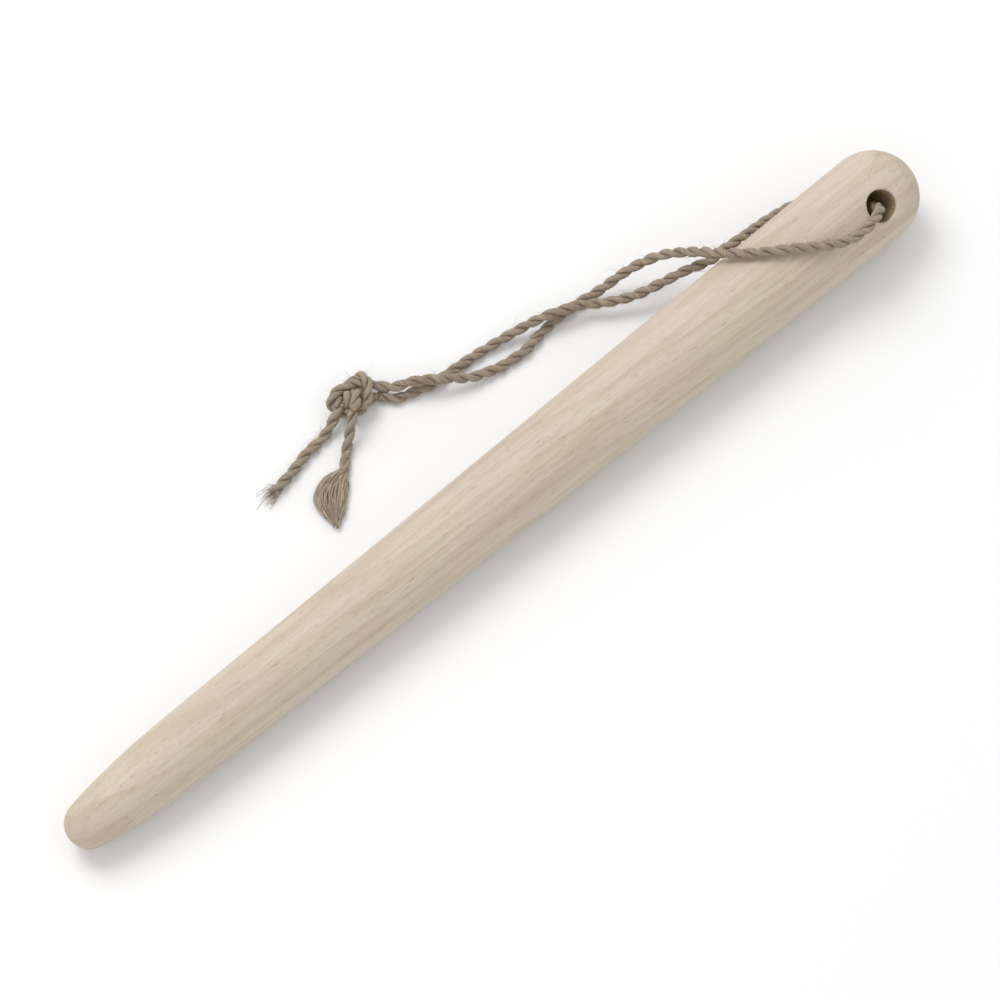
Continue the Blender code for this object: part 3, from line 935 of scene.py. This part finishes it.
class StageSettings(bpy.types.PropertyGroup):
    azimuth: angle_prop("Azimuth", "Which way the camera looks, from +Y towards -X", -47.5)
    elevation: angle_prop("Elevation", "Height of the camera above the horizon", 63.9)
    roll: angle_prop("Roll", "How far the camera is turned about its own line of sight", 6.05)
    distance: length_prop("Distance", "From the camera to the peg", 580 * MM, 10 * MM)
    lens: FloatProperty(name="Lens", description="Focal length in millimetres", default=156.3, min=10)
    key_power: FloatProperty(name="Key light", description="Power in watts", default=4.4, min=0)
    fill_power: FloatProperty(name="Fill light", description="Power in watts", default=0.4, min=0)
    sky: FloatProperty(name="Sky", description="Light from all round", default=0.74, min=0)


# ---- the operators

TARGET = (-0.7, 0.05, 3.8)  # what the camera looks at, in mm
KEY = ("key", (-0.08, 0.50, 0.86), 0.6)  # name, place and diameter of the lamp
FILL = ("fill", (-0.75, -0.35, 0.70), 0.9)
HALF_FLOOR = 3.0


class DIBBER_OT_stage(bpy.types.Operator):
    """Sets up the camera, the lights and the pale floor"""

    bl_idname = "dibber.stage"
    bl_label = "Stage"

    def execute(self, context):
        look = context.scene.dibber_stage
        self.set_camera(context, look)
        self.set_lights(context, look)
        self.set_floor(context)
        return {"FINISHED"}

    def set_camera(self, context, look):
        target = Vector(TARGET) * MM
        level = math.cos(look.elevation)
        back = Vector((math.sin(look.azimuth) * level, -math.cos(look.azimuth) * level, 0))
        back.z = math.sin(look.elevation)
        camera = bpy.data.objects.new("camera", bpy.data.cameras.new("camera"))
        camera.data.lens = look.lens
        camera.data.clip_start = 10 * MM
        camera.location = target + back * look.distance
        upright = (-back).to_track_quat("-Z", "Y")
        camera.rotation_euler = (upright @ Quaternion((0, 0, 1), look.roll)).to_euler()
        context.scene.collection.objects.link(camera)
        context.scene.camera = camera

    def set_lights(self, context, look):
        for name, place, size, power in KEY + (look.key_power,), FILL + (look.fill_power,):
            self.lamp(context, name, place, size, power)
        context.scene.view_settings.view_transform = "Standard"
        world = bpy.data.worlds.new("studio")
        world.use_nodes = True
        background = world.node_tree.nodes["Background"]
        background.inputs["Color"].default_value = (1, 1, 1, 1)
        background.inputs["Strength"].default_value = look.sky
        context.scene.world = world

    def lamp(self, context, name, place, size, power):
        data = bpy.data.lights.new(name, "AREA")
        data.shape = "DISK"
        data.size = size
        data.energy = power
        lamp = bpy.data.objects.new(name, data)
        lamp.location = place
        lamp.rotation_euler = (-Vector(place)).to_track_quat("-Z", "Y").to_euler()
        context.scene.collection.objects.link(lamp)

    def set_floor(self, context):
        data = bpy.data.meshes.new("floor")
        corners = [(x * HALF_FLOOR, y * HALF_FLOOR, 0) for x, y in ((-1, -1), (1, -1), (1, 1), (-1, 1))]
        data.from_pydata(corners, [], [(0, 1, 2, 3)])
        data.materials.append(bench_paper())
        floor = bpy.data.objects.new("floor", data)
        context.scene.collection.objects.link(floor)


class DIBBER_OT_peg(bpy.types.Operator):
    """Turns the wooden peg and drills its eye"""

    bl_idname = "dibber.peg"
    bl_label = "Peg"

    def execute(self, context):
        look = context.scene.dibber_peg
        skin = PegSkin(look.edge)
        skin.build()
        data = bpy.data.meshes.new("turned_peg")
        data.from_pydata(skin.points, [], skin.faces)
        data.materials.append(turned_wood(look))
        # The second material, for the bore's wall, carries painted shade: its browns are far darker
        # than the peg's wood.
        data.materials.append(eye_wall_with_painted_shade(look))
        data.shade_smooth()
        for face in data.polygons[skin.wall_from :]:
            face.material_index = 1
        fix_normals(data)
        data.transform(peg_place())
        peg = bpy.data.objects.new("turned_peg", data)
        context.scene.collection.objects.link(peg)
        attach(peg, "peg")
        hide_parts("peg")
        return {"FINISHED"}


def fix_normals(data):
    """Turns every face outwards."""
    mesh = bmesh.new()
    mesh.from_mesh(data)
    bmesh.ops.recalc_face_normals(mesh, faces=mesh.faces)
    mesh.to_mesh(data)
    mesh.free()


class DIBBER_OT_twine(bpy.types.Operator):
    """Lays the twine through the eye and ties its knot"""

    bl_idname = "dibber.twine"
    bl_label = "Twine"

    def execute(self, context):
        make = context.scene.dibber_twine
        twine = Twine(make.knot_squeeze, make.knot_rounds)
        finish = jute(make)
        near = self.strand(twine, "near_strand", twine.near_knot[1], twine.eye, make, finish)
        far = self.strand(twine, "far_strand", twine.far_knot[0], twine.eye, make, finish)
        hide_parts("twine_near_half")
        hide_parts("twine_far_half")
        knot = Yarn()
        add_plies(knot, twine, *twine.near_knot, make)
        add_plies(knot, twine, *twine.far_knot, make)
        knot = knot.piece("overhand_knot", finish, "lanyard", "twine_fibre")
        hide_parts("twine_knot")
        clean = self.clean_tail(twine, make, finish)
        frayed = self.frayed_tail(twine, make, finish)
        hairs = self.hairs(twine, make, finish)
        self.declare(twine, near, twine.near_knot[1], [knot, clean, hairs])
        self.declare(twine, far, twine.far_knot[0], [frayed])
        return {"FINISHED"}

    def strand(self, twine, name, start, end, make, finish):
        return yarn_between(twine, start, end, make).piece(name, finish, "lanyard", "twine_fibre")

    def declare(self, twine, strand, knot_end, pieces):
        low, high = sorted((twine.eye, knot_end))
        path = twine.line[low : high + 1]
        if twine.eye == high:
            path = path[::-1]

    def clean_tail(self, twine, make, finish):
        yarn = yarn_between(twine, 0, twine.near_knot[0], make)
        rng = np.random.default_rng(5)
        end, way = twine.line[0], -twine.along[0]
        for _ in range(CUT_FIBRES):
            start = end - way * rng.uniform(0.2, 2.0) * MM + rng.normal(0, 0.26, 3) * MM
            spread = way + rng.normal(0, 0.22, 3)
            tip = start + spread * rng.uniform(1.0, 2.6) * MM
            wisp(yarn, start, tip, rng, 0.055 * MM)
        tail = yarn.piece("clean_tail", finish, "lanyard", "twine_fibre")
        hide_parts("twine_straight_tail")
        return tail

    def frayed_tail(self, twine, make, finish):
        last = len(twine.line) - 1
        opens = last - int(TUFT_LENGTH / STEP)
        yarn = yarn_between(twine, twine.far_knot[1], opens + 4, make, TUFT_UNLAID)
        rng = np.random.default_rng(9)
        start = twine.line[opens]
        way = twine.line[last] - start
        length = np.linalg.norm(way)
        way = way / length
        left = np.cross(way, [0, 0, 1.0])
        for k in range(TUFT_FIBRES):
            lane = rng.uniform(-1, 1) * (1.25 if k % TUFT_STRAY == 0 else 1)
            self.leaf_fibre(yarn, rng, start, way, left, length, lane, k)
        tail = yarn.piece("frayed_tail", finish, "lanyard", "twine_fibre")
        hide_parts("twine_frayed_tail")
        return tail

    def leaf_fibre(self, yarn, rng, start, way, left, length, lane, k):
        """One fibre of the opened end, which bows out like the edge of a leaf and comes back in."""
        t = np.linspace(rng.uniform(-0.24, -0.1), rng.uniform(0.75, 1.08), 18)
        swell = np.sin(np.pi * np.clip(t, 0, 1)) ** 0.8
        out = (TUFT_OFFSET + TUFT_SPREAD * lane) * swell * MM + lane * 0.42 * MM * (1 - swell)
        rise = 0.75 * MM + (1 - abs(lane)) * rng.uniform(-0.5, 0.9) * MM * swell
        wave = 0.12 * MM * np.sin(t * rng.uniform(5, 14) + rng.uniform(0, 6))
        line = start[None] + np.outer(t * length, way) + np.outer(-out + wave, left)
        line[:, 2] = np.maximum(rise + wave, 0.1 * MM)
        thick = np.full(len(t), rng.uniform(0.07, 0.13) * MM) * (1 - 0.5 * np.clip(t, 0, 1) ** 3)
        thin_tube(yarn, line, thick, k * 0.37)

    def hairs(self, twine, make, finish):
        """Stray fibres all along the twine, but for the stretch inside the eye."""
        yarn = Yarn()
        rng = np.random.default_rng(3)
        count = len(twine.line)
        bore = int(HAIRLESS / STEP)
        for k in range(make.hairs):
            i = int(rng.integers(4, count - 4))
            if abs(i - twine.eye) < bore:
                continue
            angle = rng.uniform(0, FULL_TURN)
            out = twine.side[i] * math.cos(angle) + twine.up[i] * math.sin(angle)
            start = twine.line[i] + out * TWINE_RADIUS * 0.85
            way = twine.along[i] * rng.choice([-1, 1]) * rng.uniform(0.5, 1.4)
            way += out * rng.uniform(0.2, 0.9)
            tip = start + way * rng.uniform(0.5, 1.7) * MM
            wisp(yarn, start, tip, rng, rng.uniform(0.016, 0.03) * MM)
        return yarn.piece("stray_fibres", finish, "lanyard", "twine_fibre")


def wisp(yarn, start, tip, rng, thick):
    """A short curved fibre that stays off the bench."""
    t = np.linspace(0, 1, 7)[:, None]
    sag = rng.normal(0, 0.22, 3) * np.linalg.norm(tip - start)
    line = start + (tip - start) * t + sag * (t * (1 - t)) * 4 * t
    line[:, 2] = np.maximum(line[:, 2], 0.06 * MM)
    thin_tube(yarn, line, thick * (1 - 0.6 * t[:, 0]), float(rng.uniform(0, 40)), sides=3)


class DIBBER_PT_panel(bpy.types.Panel):
    """Lists the steps that build the dibber"""

    bl_label = "Dibber"
    bl_space_type = "VIEW_3D"
    bl_region_type = "UI"
    bl_category = "Dibber"

    def draw(self, context):
        for step in STEPS:
            self.layout.operator(step.bl_idname)
        for group in GROUPS:
            settings = getattr(context.scene, group)
            box = self.layout.box()
            for name in settings.__annotations__:
                box.prop(settings, name)


STEPS = (DIBBER_OT_stage, DIBBER_OT_twine, DIBBER_OT_peg)
GROUPS = {"dibber_stage": StageSettings, "dibber_peg": PegSettings, "dibber_twine": TwineSettings}


def register():
    for made in (*GROUPS.values(), *STEPS, DIBBER_PT_panel):
        bpy.utils.register_class(made)
    for name, group in GROUPS.items():
        setattr(bpy.types.Scene, name, PointerProperty(type=group))


def unregister():
    for name in GROUPS:
        delattr(bpy.types.Scene, name)
    for made in (DIBBER_PT_panel, *reversed(STEPS), *GROUPS.values()):
        bpy.utils.unregister_class(made)


def clear_scene():
    """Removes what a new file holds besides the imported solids."""
    for name in ("Cube", "Light", "Camera"):
        old = bpy.data.objects.get(name)
        if old is not None:
            bpy.data.objects.remove(old, do_unlink=True)


def main():
    clear_scene()
    register()
    bpy.ops.dibber.stage()
    bpy.ops.dibber.twine()
    bpy.ops.dibber.peg()


if __name__ == "__main__":
    main()
